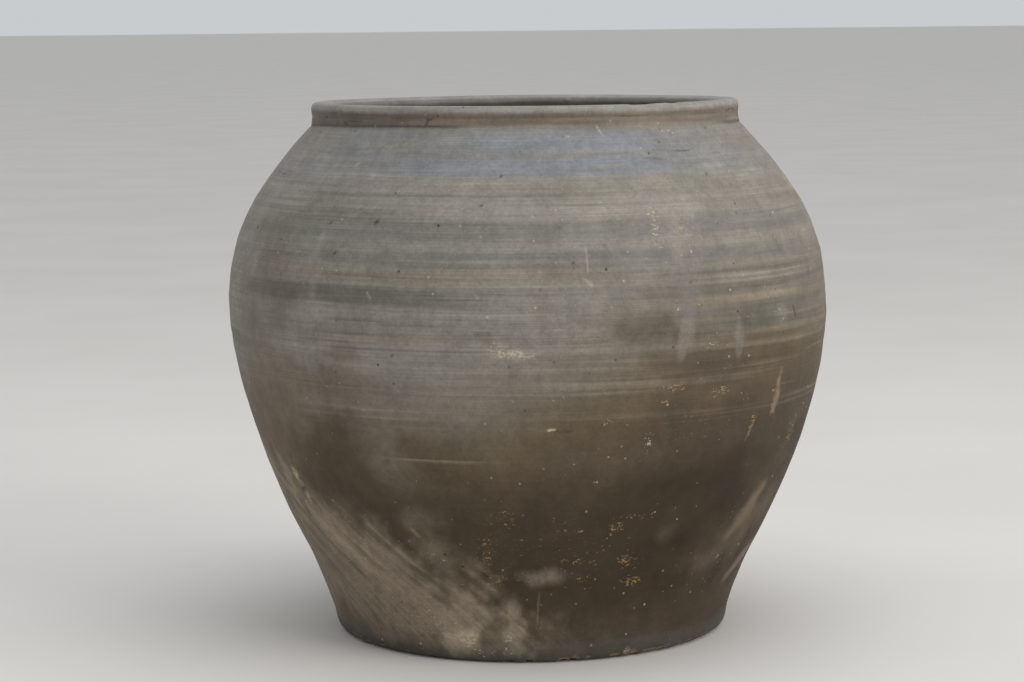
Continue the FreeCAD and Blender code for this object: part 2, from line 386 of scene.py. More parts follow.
class Marks:
    """The marks laid one after another over a set of points of the wall."""

    def __init__(self, angle, radius, height, colour):
        self.angle, self.radius, self.height, self.colour = angle, radius, height, colour
        self.grains = grain_fields(angle, height)
        self.crumbs = np.zeros((len(angle), 3))

    def near(self, middle, half_angle, low, high):
        """Which points a mark can reach."""
        found = (self.height > low) & (self.height < high)
        if found.any():
            found &= np.abs(turned(self.angle, middle)) < half_angle
        return np.flatnonzero(found)

    def around(self, at, margin):
        """Which points lie within a margin of a place."""
        half_angle = math.degrees(margin / NARROWEST)
        return self.near(at[0], half_angle, at[1] - margin, at[1] + margin)

    def away(self, points, at):
        """How far the points lie across and up from a place, in millimetres."""
        across = np.radians(turned(self.angle[points], at[0])) * self.radius[points]
        return across, self.height[points] - at[1]

    def lay(self, points, tint, share):
        self.colour[points] = tinted(self.colour[points], tint, share)

    def band(self, tint, level, thickness, first, last, strength, seed):
        """A level stripe with wavy edges and ends that run out in streaks, for the wheel's stripes and
        for the bands of painted reflection.
        """
        middle, half = (first + last) / 2, (last - first) / 2
        fade = min(10, half * 0.6)
        reach = thickness / 2 + 4
        points = self.near(middle, half + 2 * fade, level - reach, level + reach)
        angle, height = self.angle[points], self.height[points]
        wave = 1.3 * noise(angle, height, 36, 500, seed) + 0.5 * noise(angle, height, 11, 500, seed + 1)
        wave = wave * min(1, 0.35 + thickness / 12)
        edge = 0.45 + 0.05 * thickness + 0.5 * np.abs(noise(angle, height, 20, 40, seed + 2))
        inside = 1 - smooth(thickness / 2 - edge, thickness / 2 + edge, np.abs(height - level - wave))
        frayed = 1.3 * fade * self.grains["wheel"][points]
        ends = 1 - smooth(half - fade, half + fade, np.abs(turned(angle, middle)) + frayed)
        wear_and_breakup = 1 - 0.35 * smooth(0.0, 0.6, noise(angle, height, 16, 3.0, seed + 3))
        self.lay(points, tint, inside * ends * wear_and_breakup * strength)

    def patch(self, tint, at, size, tilt, grain, edge, strength):
        """A patch: its middle, its half width and half height, its tilt, how it breaks up, its edge."""
        points = self.around(at, 1.9 * max(size))
        across, up = self.away(points, at)
        lean = math.radians(tilt)
        along = across * math.cos(lean) + up * math.sin(lean)
        aside = up * math.cos(lean) - across * math.sin(lean)
        broken = self.grains[grain][points]
        reach = np.hypot(along / size[0], aside / size[1]) + 0.75 * broken
        share = 1 - smooth(1 - edge, 1 + edge, reach)
        share = share * (1 - 0.45 * smooth(0.0, 0.5, broken))
        self.lay(points, tint, share * strength)

    def flecks(self, kind, at, spread, density):
        """How thickly small crumbs lie round a place; the material breaks them into flecks."""
        points = self.around(at, 1.8 * max(spread))
        across, up = self.away(points, at)
        reach = np.hypot(across / spread[0], up / spread[1]) + 0.6 * self.grains["mottle"][points]
        share = density * (1 - smooth(0.1, 1.3, reach))
        self.crumbs[points, kind] = np.maximum(self.crumbs[points, kind], share)

    def stroke(self, tint, first, last, half_width, grain, edge, strength):
        """A straight mark from one place to another, thinning out towards its ends."""
        turn, rise = turned(last[0], first[0]) / 2, (last[1] - first[1]) / 2
        middle = (first[0] + turn, first[1] + rise)
        wide = 3 * half_width + 1
        half_angle, half_height = abs(turn) + math.degrees(wide / NARROWEST), abs(rise) + wide
        points = self.near(middle[0], half_angle, middle[1] - half_height, middle[1] + half_height)
        across, up = self.away(points, middle)
        run = math.radians(turn) * self.radius[points]
        length = np.hypot(run, rise) + SMALL
        along = (across * run + up * rise) / length
        aside = (up * run - across * rise) / length
        broken = self.grains[grain][points]
        reach = np.hypot(aside, np.maximum(np.abs(along) - length, 0)) / half_width
        reach = reach + 0.6 * broken + 0.5 * smooth(0.3, 1.0, np.abs(along) / length)
        share = 1 - smooth(1 - edge, 1 + edge, reach)
        self.lay(points, tint, share * strength)


# Stripes of the wheel, and bands of painted reflection on the shoulder: colour, height, thickness, first
# and last angle, strength.
BANDS = [
    # The grey and blue-grey bands here are painted reflection of the sky on the shoulder.
    (PAINTED_GREY_REFLECTION, 325, 27, -62, 64, 0.75),
    (PAINTED_BLUE_REFLECTION, 330.5, 9, -14, 34, 0.55),
    (PAINTED_BLUE_REFLECTION, 318, 9, -26, 34, 0.45),
    (PAINTED_BLUE_REFLECTION, 322, 6, 14, 36, 0.35),
    (LEAD, 324.8, 1.4, -10, 22, 0.3),
    (WARM, 307, 9, -40, 40, 0.25),
    (PALE_ASH, 303.4, 1.2, -44, 24, 0.45),
    (LEAD, 301.6, 1.5, -46, 22, 0.35),
    (SLATE, 291.5, 3, -60, -26, 0.35),
    (PALE_ASH, 292, 8, -18, 40, 0.3),
    (SLATE, 281, 12, -64, 70, 0.62),
    (LEAD, 287.4, 1.2, -58, -22, 0.4),
    (PALE_ASH, 268.6, 1.3, -44, -18, 0.5),
    (SLATE, 264.5, 8, -52, -20, 0.62),
    (SLATE, 266.3, 4.5, -22, 40, 0.55),
    (LEAD, 259.6, 3, -24, 22, 0.45),
    (SLATE, 262.5, 8, 22, 68, 0.62),
    (WARM, 257.4, 2, 26, 62, 0.55),
    (WARM, 253, 9, -52, 16, 0.45),
    (LEAD, 254.5, 1.2, -39, -30, 0.5),
    (PALE_ASH, 248.5, 1.4, -46, -8, 0.6),
    (LEAD, 252.3, 2.4, 26, 68, 0.55),
    (PALE_ASH, 250, 1.2, 28, 64, 0.55),
    (LEAD, 248.3, 1.4, 26, 50, 0.45),
    (PALE_ASH, 246.6, 1.4, 24, 62, 0.5),
    (LEAD, 241.5, 12, -57, -13, 0.62),
    (SLATE, 243.5, 7, -14, 14, 0.45),
    (PALE_ASH, 240.8, 1, -18, 13, 0.45),
    (PALE_ASH, 238.2, 1, -16, 12, 0.35),
    (LEAD, 242, 8, 22, 70, 0.55),
    (PALE_ASH, 234.4, 1.6, -48, -18, 0.7),
    (WARM, 235.6, 4.6, 30, 64, 0.75),
    (LEAD, 223, 16, 27, 72, 0.62),
    (PALE_ASH, 231, 1.1, -40, -10, 0.35),
    (LEAD, 226.2, 1.3, -38, -27, 0.65),
    (LEAD, 223.4, 1.1, -30, -12, 0.4),
    (LEAD, 217.8, 1.3, -36, -24, 0.6),
    (WARM, 214.5, 5, -31, -16, 0.45),
    (LEAD, 211.4, 1.5, -43, -32, 0.45),
    (LEAD, 208.2, 1.2, -36, -10, 0.5),
    (PALE_ASH, 206.6, 1.1, -47, -34, 0.55),
    (WARM, 213.5, 4, 40, 66, 0.35),
    (LEAD, 209, 1.3, 36, 60, 0.4),
    (WARM, 205.5, 3, 32, 62, 0.4),
    (PALE_ASH, 201.6, 1.1, -8, 24, 0.4),
    (PALE_ASH, 196.3, 1, -24, 22, 0.35),
    (PALE_ASH, 187, 4.5, 2, 46, 0.28),
    (PALE_ASH, 183, 1.1, -54, -30, 0.45),
    (PALE_ASH, 169.7, 1.2, -48, -24, 0.6),
    (PALE_ASH, 165.6, 1.1, -46, -10, 0.45),
    (PALE_ASH, 160, 1, -30, -12, 0.25),
    (PALE_ASH, 138.6, 1.3, -31, -10, 0.6),
]

# Patches: colour, middle, half width and half height, tilt, how it breaks up, edge, strength.
PATCHES = [
    (OLIVE, (-58, 262), (26, 24), 0, "down", 0.6, 0.25),
    (linear(108, 97, 79), (-58, 196), (42, 44), 0, "cloud", 0.8, 0.55),
    (PALE_ASH, (-42.5, 262), (4, 17), 0, "down", 0.5, 0.4),
    (PALE_ASH, (-43, 230), (9, 9), 0, "down", 0.5, 0.35),
    (BARK, (-36, 186), (40, 9), 0, "down", 0.5, 0.35),
    (linear(98, 87, 74), (-35, 205), (15, 5), 0, "wheel", 0.5, 0.55),
    (linear(72, 60, 43), (-36, 158), (13, 8), 0, "mottle", 0.8, 0.6),
    (BARK, (-52, 236), (16, 9), 0, "down", 0.4, 0.35),
    (linear(84, 73, 58), (23, 217), (22, 12), 0, "mottle", 0.8, 0.8),
    (BARK, (14, 229), (20, 7), 0, "down", 0.5, 0.22),
    (linear(82, 71, 58), (31, 196), (34, 8), 3, "wheel", 0.45, 0.85),
    (BARK, (12, 171), (52, 8), 0, "wheel", 0.6, 0.4),
    (linear(74, 62, 48), (34, 158), (62, 22), 0, "cloud", 0.6, 0.55),
    (linear(72, 60, 46), (36, 189), (24, 9), -4, "mottle", 0.8, 0.6),
    (SLATE, (28.5, 243), (5, 22), 2, "down", 0.5, 0.45),
    (linear(124, 114, 103), (28.4, 213), (5.2, 12), -6, "down", 0.3, 0.66),
    (linear(124, 117, 108), (40.3, 210), (3, 9), 0, "down", 0.5, 0.55),
    (linear(122, 118, 110), (53, 223), (6, 6), 0, "mottle", 0.6, 0.4),
    (linear(140, 120, 92), (53.3, 171), (3.2, 12.5), -5, "crumb", 0.35, 0.65),
    (PALE_ASH, (-3.5, 207.2), (17, 3), 0, "crumb", 0.6, 0.55),
    (LEAD, (-8, 217), (5, 3.5), 0, "crumb", 0.4, 0.55),
    (BARK, (2.5, 233), (3, 10), 0, "down", 0.7, 0.25),
    (linear(112, 103, 88), (-31, 147), (12, 18), 0, "mottle", 0.7, 0.75),
    (linear(112, 103, 88), (-27.8, 128), (11, 12), 0, "mottle", 0.8, 0.65),
    (OLIVE, (-7, 146), (22, 9), 0, "down", 0.6, 0.4),
    (linear(86, 75, 60), (6, 140), (12, 9), 0, "down", 0.6, 0.5),
    (linear(86, 75, 60), (14, 137), (16, 11), 0, "mottle", 0.8, 0.5),
    (linear(84, 73, 58), (22, 143), (12, 8), 0, "down", 0.6, 0.45),
    (linear(112, 100, 82), (-60, 128), (13, 32), 14, "mottle", 0.9, 0.3),
    (linear(64, 51, 34), (-45, 122), (24, 34), -14, "mottle", 0.8, 0.6),
    (linear(58, 46, 30), (70, 22), (34, 30), 0, "mottle", 0.9, 0.85),
    (linear(78, 65, 45), (64, 105), (30, 50), 0, "mottle", 0.9, 0.45),
    (CREAM, (-59, 118), (2.6, 5), 18, "crumb", 0.5, 0.6),
    (linear(70, 54, 38), (-57.6, 110.5), (3.2, 5), 20, "crumb", 0.4, 0.75),
    (CREAM, (-56.6, 103), (2.2, 4.6), 24, "crumb", 0.5, 0.4),
    (linear(66, 54, 40), (-61, 97), (3.4, 9), 20, "left", 0.4, 0.6),
    (DUST, (-24.5, 98), (12, 8), 0, "mottle", 0.9, 0.38),
    (DUST, (-21.5, 74), (11, 11), 0, "mottle", 0.9, 0.6),
    (DUST, (2.6, 60.5), (15, 4.2), 0, "mottle", 1, 0.72),
    (DUST, (31.4, 85), (6, 5), 0, "mottle", 1, 0.26),
    (BARK, (45, 66), (22, 9), 12, "mottle", 0.9, 0.4),
    (CREAM, (-19, 14), (12, 9), 0, "mottle", 0.7, 0.75),
    (CHALK, (-21, 27), (9, 6), 0, "mottle", 0.8, 0.55),
    (CHALK, (-7, 19), (9, 12), 0, "mottle", 0.8, 0.7),
    (CHALK, (-7, 37), (9, 6), 0, "mottle", 0.8, 0.7),
    (CHALK, (-12, 9), (18, 7), 0, "mottle", 0.8, 0.6),
    (CHALK, (-50, 84), (18, 8), -35, "left", 0.8, 0.6),
    (linear(72, 65, 56), (-68, 12), (28, 12), 6, "mottle", 0.8, 0.7),
    (CREAM, (27.4, 4.5), (2.4, 2.4), 0, "crumb", 0.4, 0.6),
    (linear(106, 82, 68), (36, 171), (8, 7), 0, "cloud", 0.6, 0.35),
    (PALE_ASH, (28, 276), (12, 14), 0, "down", 0.6, 0.45),
]

# Strokes: colour, from, to, half width, how it breaks up, edge, strength.
STROKES = [
    (linear(118, 102, 82), (59.4, 105), (52, 76), 6.5, "mottle", 0.8, 0.8),
    (linear(118, 102, 83), (74, 60), (62, 43), 5, "mottle", 0.8, 0.8),
    (linear(96, 84, 68), (66, 92), (48, 62), 14, "mottle", 1, 0.45),
    (CHALK, (-67, 138), (-61, 92), 5, "mottle", 0.9, 0.45),
    (CHALK, (-58, 98), (-44, 62), 7, "mottle", 0.9, 0.7),
    (CHALK, (-46, 66), (-24, 24), 8, "mottle", 0.9, 0.4),
    (DUST, (1.6, 50), (1.1, 24), 0.6, "crumb", 0.8, 0.45),
    (CREAM, (9.6, 253), (11.6, 246.5), 0.5, "crumb", 0.5, 0.45),
    (CREAM, (10.4, 271), (10.4, 256), 0.45, "crumb", 0.5, 0.35),
    (PIT, (34, 325.5), (41, 325.3), 0.45, "crumb", 0.5, 0.6),
    (LEAD, (27, 322), (33, 321), 0.7, "crumb", 0.4, 0.6),
    (PIT, (3.6, 158.6), (7.6, 158.4), 0.7, "crumb", 0.7, 0.35),
    (CREAM, (2.6, 160), (4, 159.6), 0.9, "crumb", 0.4, 0.8),
    (CREAM, (-41.5, 318.5), (-40.2, 320), 0.7, "crumb", 0.6, 0.55),
    (CREAM, (17.5, 341), (18.5, 335), 0.6, "crumb", 0.4, 0.55),
    (CREAM, (-30, 244), (-29, 239), 0.5, "crumb", 0.4, 0.5),
    (OCHRE, (-12, 252), (-10.5, 246), 0.5, "crumb", 0.5, 0.4),
    (PIT, (57, 226), (58, 218), 0.9, "down", 0.4, 0.6),
    (OCHRE, (47.5, 158), (45.8, 143), 0.8, "crumb", 0.9, 0.3),
    (OCHRE, (-27, 92), (-25, 86), 0.8, "crumb", 0.5, 0.6),
]

# Groups of small flecks: middle, half width and half height, how thick they lie.
CREAM_FLECKS = [
    ((-3.5, 207), (17, 3.2), 0.85),
    ((-6, 211.8), (9, 4), 0.6),
    ((14, 164), (8, 4), 0.35),
    ((22, 147.5), (4, 9), 0.55),
    ((3.2, 159.4), (3.4, 2.2), 0.75),
    ((34, 208), (11, 6), 0.4),
    ((24.6, 284), (6, 14), 0.52),
    ((30, 278), (20, 16), 0.24),
    ((37, 336), (14, 5), 0.4),
    ((53, 222), (6, 8), 0.4),
    ((-16, 300), (40, 30), 0.16),
    ((-59, 118), (3.6, 6), 0.9),
    ((-56.6, 103), (2.8, 6), 0.75),
    ((-46, 60), (36, 46), 0.26),
    ((-26, 28), (30, 20), 0.34),
    ((-18, 16), (9, 8), 0.8),
    ((-21, 27), (9, 5), 0.5),
    ((-6.5, 17), (6, 6), 0.65),
    ((-12, 8), (22, 6), 0.45),
    ((27.4, 4.5), (3.4, 3.4), 0.85),
    ((-22, 72), (9, 9), 0.4),
    ((2, 61), (14, 3), 0.35),
    ((-40, 30), (4, 3), 0.5),
    ((-60, 4), (12, 3), 0.45),
]
OCHRE_FLECKS = [
    ((4, 206), (13, 1.8), 0.6),
    ((12, 212), (16, 6), 0.3),
    ((26, 183), (12, 4), 0.62),
    ((24, 175), (10, 4), 0.5),
    ((37, 177.5), (13, 6), 0.62),
    ((43, 170), (16, 7), 0.4),
    ((52, 172), (4, 14), 0.65),
    ((46.5, 152), (2.6, 13), 0.6),
    ((65, 142), (8, 12), 0.5),
    ((30, 160), (40, 18), 0.22),
    ((18, 92), (7, 7), 0.6),
    ((23, 99.5), (20, 2.4), 0.45),
    ((8, 93), (12, 7), 0.42),
    ((22, 69), (12, 6), 0.65),
    ((25, 54), (9, 4), 0.62),
    ((12, 59), (10, 5), 0.58),
    ((10, 71), (20, 4), 0.5),
    ((-4, 60), (14, 5), 0.5),
    ((-10, 79), (8, 18), 0.52),
    ((-9, 56), (10, 8), 0.58),
    ((-6, 102), (10, 8), 0.42),
    ((4, 78), (60, 30), 0.22),
    ((51.4, 62), (3.4, 3), 0.85),
    ((50, 90), (16, 12), 0.32),
    ((-35.5, 92), (3, 5), 0.6),
    ((-30, 50), (60, 40), 0.2),
    ((45, 3), (60, 3), 0.5),
]

# What the three parts of the crumbs hold.
IN_CREAM, IN_OCHRE, DRAGGED = 0, 1, 2

# Pits burnt or knocked into the wall: angle, height, half width.
PITS = [
    (-5.5, 313, 0.9), (-30, 285.5, 1.1), (-23, 290, 0.7), (-9, 296, 1), (-38, 266, 1.1),
    (-41, 284, 0.9), (6, 283, 0.9), (8, 262, 0.9), (-11, 238, 1.1), (2, 246, 1),
    (22, 300, 0.9), (33, 330, 0.7), (42, 311, 1), (-52, 251, 1), (-25, 205, 1.1),
    (-48, 191, 1), (4, 202, 0.9), (-12, 228, 0.9), (14, 272, 0.8), (30, 247, 0.9),
]


def wheel_lines():
    """Thin level lines that the wheel left all round the upper wall."""
    rolls = np.random.RandomState(83)
    lines = []
    for _ in range(230):
        level, first = rolls.uniform(158, 336), rolls.uniform(-180, 180)
        length, thickness = rolls.uniform(8, 60), rolls.uniform(0.8, 1.7)
        strength = rolls.uniform(0.10, 0.38)
        tint = (PALE_ASH, WARM, LEAD)[rolls.randint(3)]
        lines.append((tint, level, thickness, first, first + length, strength))
    return lines


def hidden_bands():
    """Broad stripes like the ones in front, for the rest of the way round, with bands of painted
    reflection above 306 mm.
    """
    rolls = np.random.RandomState(97)
    stripes = []
    for _ in range(46):
        level, first = rolls.uniform(196, 334), rolls.uniform(66, 230)
        length, thickness = rolls.uniform(35, 95), rolls.uniform(4, 13)
        tint = (SLATE, LEAD, WARM, SLATE)[rolls.randint(4)]
        # Above 306 mm the stripes are painted reflection of the sky in grey and blue-grey.
        if level > 306:
            tint = (PAINTED_GREY_REFLECTION, PAINTED_BLUE_REFLECTION)[rolls.randint(2)]
        last = min(first + length, 294)
        stripes.append((tint, level, thickness, first, last, rolls.uniform(0.35, 0.65)))
    return stripes


def hidden_flecks():
    """Groups of flecks like the ones in front, for the rest of the way round."""
    rolls = np.random.RandomState(59)
    groups = []
    for _ in range(26):
        middle = (rolls.uniform(80, 280), rolls.uniform(10, 210))
        spread = (rolls.uniform(8, 45), rolls.uniform(4, 24))
        groups.append((rolls.randint(2), middle, spread, rolls.uniform(0.2, 0.5)))
    return groups


def left_wear(marks):
    """Pale wear that sweeps down the lower left wall and on to the foot's front."""
    angle, height = marks.angle, marks.height
    edge = mix(7, -80, smooth(10, 172, height))
    drag, mottle, cloud = marks.grains["left"], marks.grains["mottle"], marks.grains["cloud"]
    inside = edge - angle - 5 * drag - 15 * mottle - 12 * cloud
    wear = smooth(-9, 18, inside) * (1 - smooth(85, 140, inside)) * smooth(2, 13, height - 8 * mottle)
    wear = wear * (1 - smooth(120, 165, height)) * (angle < 60)
    marks.lay(slice(None), DUST, wear * 0.85)
    bright = np.exp(-(((inside - 18) / 17) ** 2)) * smooth(-0.25, 0.35, -drag - 0.6 * mottle)
    marks.lay(slice(None), CHALK, wear * bright * 0.60)
    thin = smooth(0.0, 0.5, 0.7 * drag + 0.8 * mottle + 0.5 * cloud) * wear
    marks.lay(slice(None), OLIVE, thin * 0.55)
    marks.crumbs[:, DRAGGED] = wear


def outside_colour(angle, radius, height):
    """The outer wall: fire-dark clay below, warm grey above, slate stripes, pale wear and bands of
    painted reflection on the shoulder.
    """
    tone = fired_tone(angle, height)
    upper = smooth(160, 210, height)
    ripple = fractal(angle, height, 90, 8, 111, 3)
    tone = tone + 9 * ripple * upper + 8 * fractal(angle, height, 9, 20, 115, 4)
    low = tinted(PEAT, BARK, np.clip(tone / 50, -0.15, 1))
    colour = tinted(low, ASH, np.clip((tone - 50) / 50, 0, 1.2))
    marks = Marks(angle, radius, height, colour)
    behind = smooth(66, 90, np.abs(angle))
    level = height + 34 * fractal(angle, height, 44, 70, 121)
    behind = behind * (1 - smooth(80, 150, level))
    for grain, tint, share in (("cloud", DUST, 0.6), ("mottle", CHALK, 0.3)):
        wear_and_breakup = smooth(-0.1, 0.8, marks.grains[grain] + 0.5 * fractal(angle, height, 30, 40, 125)) * behind
        marks.lay(slice(None), tint, wear_and_breakup * share)
    left_wear(marks)
    marks.crumbs[:, DRAGGED] = np.maximum(marks.crumbs[:, DRAGGED], 0.8 * behind)
    for number, row in enumerate(hidden_bands() + BANDS + wheel_lines()):
        marks.band(*row, 600 + 5 * number)
    for row in PATCHES:
        marks.patch(*row)
    for row in STROKES:
        marks.stroke(*row)
    for row in CREAM_FLECKS:
        marks.flecks(IN_CREAM, *row)
    for row in OCHRE_FLECKS:
        marks.flecks(IN_OCHRE, *row)
    for row in hidden_flecks():
        marks.flecks(*row)
    for at_angle, at_height, size in PITS:
        marks.patch(PIT, (at_angle, at_height), (size, size * 0.7), 20, "crumb", 0.6, 0.70)
    return marks


def lower_edge_colour(colour, angle, radius, height):
    """A slate-dark zone along the foot, and the pale fresh clay of its chips."""
    foot = 1 - smooth(4, 22, height + 5 * noise(angle, height, 14, 30, 141))
    colour = tinted(colour, linear(71, 70, 66), foot * 0.65)
    wear_and_breakup = chip_depth(angle, radius, height)
    return tinted(colour, CHIPPED, smooth(0.15, 0.8, wear_and_breakup) * 0.6)


def collar_colour(colour, angle, height, grains):
    """The collar: browner than the shoulder, blotched and cracked, pale grey along its upper edge with a
    painted highlight there, and a painted shadow along its foot that turns into a painted highlight on
    the front right.
    """
    collar = smooth(339.8, 341.0, height)
    blotches = smooth(-0.05, 0.35, fractal(angle, height, 26, 6, 151))
    brown = tinted(COLLAR_BROWN, linear(117, 106, 92), blotches)
    grey = smooth(0.0, 0.4, fractal(angle, height, 7, 12, 155)) * mix(0.75, 0.3, smooth(-10, 20, angle))
    brown = tinted(brown, linear(100, 96, 86), grey)
    left_dark = (1 - smooth(-60, -14, angle)) * smooth(-75, -50, angle)
    left_dark = left_dark * smooth(-0.3, 0.4, grains["crumb"])
    brown = tinted(brown, linear(88, 80, 68), left_dark * 0.25)
    cracks = smooth(0.55, 0.75, 1 - 4 * np.abs(noise(angle, height, 10, 3.2, 157)))
    cracks = cracks * smooth(0.1, 0.4, noise(angle, height, 14, 30, 159))
    brown = tinted(brown, linear(58, 48, 40), cracks * 0.6)
    colour = tinted(colour, brown, collar)
    # Painted shadow under the collar's foot, dark like the inside, which turns into a painted highlight
    # on the front right.
    lip_foot_shadow_and_highlight = 1 - smooth(0.3, 1.3, np.abs(height - 340.3 - 0.4 * noise(angle, height, 16, 400, 161)))
    lit = smooth(-24, -8, angle) * (1 - smooth(50, 70, angle))
    shadow_and_highlight_tint = tinted(INSIDE, linear(132, 122, 109), lit)
    colour = tinted(colour, shadow_and_highlight_tint, lip_foot_shadow_and_highlight * mix(0.75, 0.45, lit))
    # The lip's crest: worn pale grey, and a painted highlight along its rounded outer edge.
    crest = smooth(349.2, 352.4, height + 0.8 * grains["cloud"])
    return tinted(colour, LIP_GREY_AND_HIGHLIGHT, crest * 0.85)


def inside_colour(angle, radius, height, grains):
    """The inside: smoky and dark, greyer at the lip and a little dusty towards the floor."""
    cloud = fractal(angle, height, 40, 50, 171)
    colour = tinted(INSIDE, OLIVE, smooth(-0.2, 0.8, cloud) * 0.4)
    dust = (1 - smooth(10, 60, height)) * smooth(-0.3, 0.6, fractal(angle, radius, 30, 30, 181))
    colour = tinted(colour, DUST, dust * 0.6)
    lip = smooth(349.3, 351.8, height + 0.8 * grains["cloud"])
    colour = tinted(colour, THROAT, lip)
    # The inner top of the lip: worn pale grey with a painted highlight on its rounded edge.
    return tinted(colour, LIP_GREY_AND_HIGHLIGHT, smooth(352.6, 354.2, height) * 0.8)


def under_colour(angle, radius):
    """The underside: dusty grey-brown clay, rubbed pale round the edge."""
    cloud = fractal(angle, radius, 30, 25, 191)
    colour = tinted(BARK, DUST, smooth(-0.4, 0.6, cloud))
    rim = smooth(110, 128, radius)
    return tinted(colour, WARM, rim * 0.4)


def painted(angle, radius, height):
    """The colour and share of grit at every point, its finish (stripes, dust, sheen) and crumbs."""
    marks = outside_colour(angle, radius, height)
    grains = marks.grains
    outside = lower_edge_colour(marks.colour, angle, radius, height)
    outside = collar_colour(outside, angle, height, grains)
    into_wall = smooth(2.0, 11.0, outer_radius(height) - radius)
    under = (1 - smooth(0.1, 0.8, height)) * (1 - smooth(126, 129, radius))
    colour = tinted(outside, inside_colour(angle, radius, height, grains), into_wall)
    colour = tinted(colour, under_colour(angle, radius), under)
    stripes = smooth(150, 205, height) * (1 - into_wall)
    sheen = np.clip((colour[..., 2] / np.maximum(colour[..., 0], SMALL) - 0.82) * 2.5, 0, 1)
    dust = np.clip((colour.mean(axis=-1) - 0.10) * 5, 0, 1) * (1 - smooth(140, 200, height))
    finish = np.stack([stripes, np.maximum(dust, under), sheen * (1 - into_wall)], axis=-1)
    grit = 1 - 0.75 * into_wall
    return np.column_stack([colour, grit]), finish, marks.crumbs * (1 - into_wall)[..., None]


# ---- Building the pieces ----


def ring_points(section):
    """Points round the section, fine on the outer face, and which of them are sharp corners."""
    points, sharp = [], []
    for run in runs_of(section):
        outside = np.mean(outer_radius(run[:, 1]) - run[:, 0]) < 2.5
        flat = np.ptp(run[:, 1]) < 1 and np.ptp(run[:, 0]) > 60
        step = 4.0 if flat else 1.1 if outside else 2.6
        fine = resampled(run, step)
        points.append(fine[:-1])
        sharp += [True] + [False] * (len(fine) - 2)
    return np.vstack(points), np.array(sharp)


def ring_faces(poles):
    """Quads between neighbouring rings all the way round, and triangles where a ring is a pole."""
    counts = np.where(poles, 1, COLUMNS)
    starts = np.cumsum(counts) - counts
    around = np.arange(COLUMNS)
    beside = (around + 1) % COLUMNS
    faces = []
    for row, low in enumerate(starts):
        above = (row + 1) % len(poles)
        high = starts[above]
        if poles[row] and poles[above]:
            continue
        if poles[row]:
            corners = [np.full(COLUMNS, low), high + beside, high + around]
        elif poles[above]:
            corners = [low + around, low + beside, np.full(COLUMNS, high)]
        else:
            corners = [low + around, low + beside, high + beside, high + around]
        faces += np.column_stack(corners).tolist()
    return faces, starts


def build_piece(node, material):
    """One ring of clay as a closed solid on the section of its CAD piece."""
    ring, sharp = ring_points(SECTIONS[node])
    poles = ring[:, 0] < SMALL
    around = np.arange(COLUMNS) * 360 / COLUMNS - 180
    angle, radius = np.meshgrid(around, ring[:, 0])
    height = np.broadcast_to(ring[:, 1][:, None], angle.shape).copy()
    keep = np.ones_like(angle, bool)
    keep[poles, 1:] = False
    angle, radius, height = angle[keep], radius[keep], height[keep]
    places = reshaped(angle, radius, height)
    faces, starts = ring_faces(poles)
    mesh = bpy.data.meshes.new(node + "_clay")
    mesh.from_pydata(places, [], faces)
    mesh.shade_smooth()
    mark_sharp(mesh, starts[sharp & ~poles])
    paint, finish, crumbs = painted(angle, radius, height)
    add_attribute(mesh, "Paint", "FLOAT_COLOR", paint)
    add_attribute(mesh, "Finish", "FLOAT_VECTOR", finish)
    add_attribute(mesh, "Crumbs", "FLOAT_VECTOR", crumbs)
    piece = bpy.data.objects.new(node + "_clay", mesh)
    bpy.context.scene.collection.objects.link(piece)
    mesh.materials.append(material)
    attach(piece, "root")
    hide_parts(node)
    return piece


def mark_sharp(mesh, ring_starts):
    """Mark the edges that run round a corner ring as sharp."""
    ends = np.empty(len(mesh.edges) * 2, int)
    mesh.edges.foreach_get("vertices", ends)
    ends = ends.reshape(-1, 2)
    flags = np.zeros(len(ends), bool)
    for start in ring_starts:
        flags |= ((ends >= start) & (ends < start + COLUMNS)).all(axis=1)
    mesh.attributes.new("sharp_edge", "BOOLEAN", "EDGE").data.foreach_set("value", flags)


def add_attribute(mesh, name, kind, values):
    attribute = mesh.attributes.new(name, kind, "POINT")
    field = "color" if kind == "FLOAT_COLOR" else "vector"
    attribute.data.foreach_set(field, np.ascontiguousarray(values, np.float32).ravel())


# ---- Materials ----

# The jar's radius at its belly and along its lower wall, in metres.
BELLY, LOWER_WALL = 0.2, 0.17


